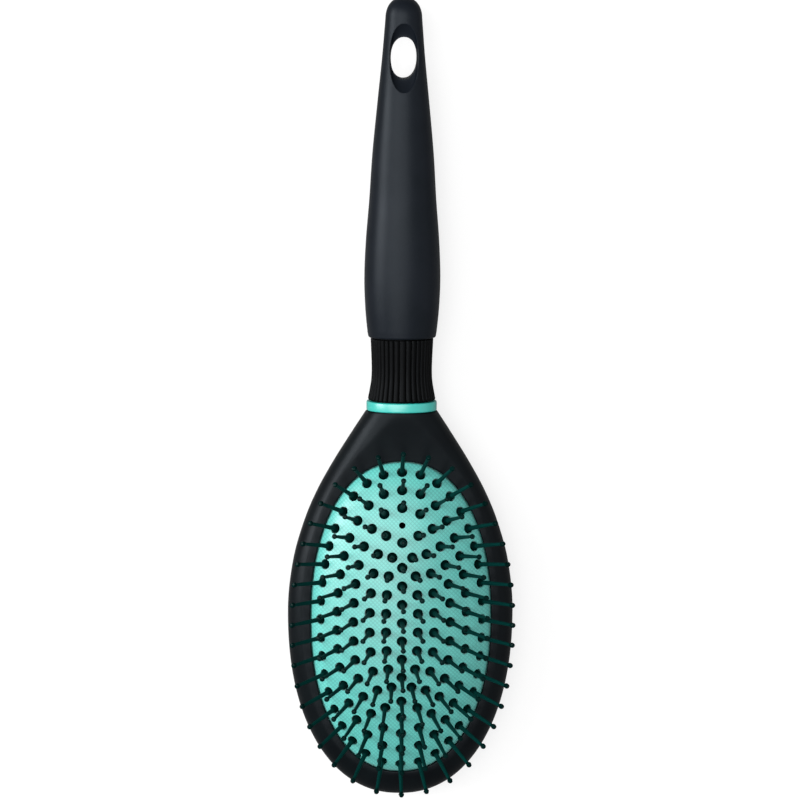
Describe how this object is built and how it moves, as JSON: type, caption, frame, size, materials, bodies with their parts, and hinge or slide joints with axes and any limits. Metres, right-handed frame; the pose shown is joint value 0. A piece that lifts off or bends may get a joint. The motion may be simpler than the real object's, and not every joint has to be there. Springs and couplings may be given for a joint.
{
  "type": "oval cushion brush",
  "caption": "Oval cushion hair brush lying on its back: domed rubber pad with ball-tipped pins, black head, mint ring, ribbed neck and soft grip with a hang hole.",
  "frame": {"origin": "middle of the flat land on the head's back, on the brush's centre plane", "axes": "+Z out of the cushion along the middle pins, +Y along the brush towards the end of the handle, +X across"},
  "size_m": [0.0684, 0.2421, 0.0397],
  "materials": {
    "head_black": "satin moulded",
    "cushion_mint": "matt with a fine cloth-like texture",
    "pin_black": "glossy",
    "ring_mint": "glossy",
    "sleeve_black": "satin, ribbed lengthwise",
    "core_grey": "as moulded",
    "grip_black": "soft touch"
  },
  "bodies": {
    "brush": {"head_shell": "head_black", "cushion": "cushion_mint", "accent_ring": "ring_mint", "ribbed_sleeve": "sleeve_black", "handle_core": "core_grey", "handle_grip": "grip_black"},
    "centre_pins": {"pin_field_centre": "pin_black"},
    "fourth_pins": {"pin_ring_fourth": "pin_black"},
    "third_pins": {"pin_ring_third": "pin_black"},
    "second_pins": {"pin_ring_second": "pin_black"},
    "outer_pins": {"pin_ring_outer": "pin_black"}
  },
  "joints": [
    {"name": "cushion_press", "type": "slide", "parent": "brush", "child": "centre_pins", "axis": [0, 0, 1], "range_m": [-0.0045, 0], "stiffness_N_per_m": 3000, "deforming": ["cushion"]},
    {"name": "fourth_press", "type": "slide", "parent": "brush", "child": "fourth_pins", "axis": [0, 0, 1], "range_m": [-0.00416, 0]},
    {"name": "third_press", "type": "slide", "parent": "brush", "child": "third_pins", "axis": [0, 0, 1], "range_m": [-0.00367, 0]},
    {"name": "second_press", "type": "slide", "parent": "brush", "child": "second_pins", "axis": [0, 0, 1], "range_m": [-0.00287, 0]},
    {"name": "outer_press", "type": "slide", "parent": "brush", "child": "outer_pins", "axis": [0, 0, 1], "range_m": [-0.00157, 0]}
  ],
  "couplings": [
    {"joint": "fourth_press", "follows": "cushion_press", "ratio": 0.9238},
    {"joint": "third_press", "follows": "cushion_press", "ratio": 0.814},
    {"joint": "second_press", "follows": "cushion_press", "ratio": 0.6377},
    {"joint": "outer_press", "follows": "cushion_press", "ratio": 0.3473}
  ]
}
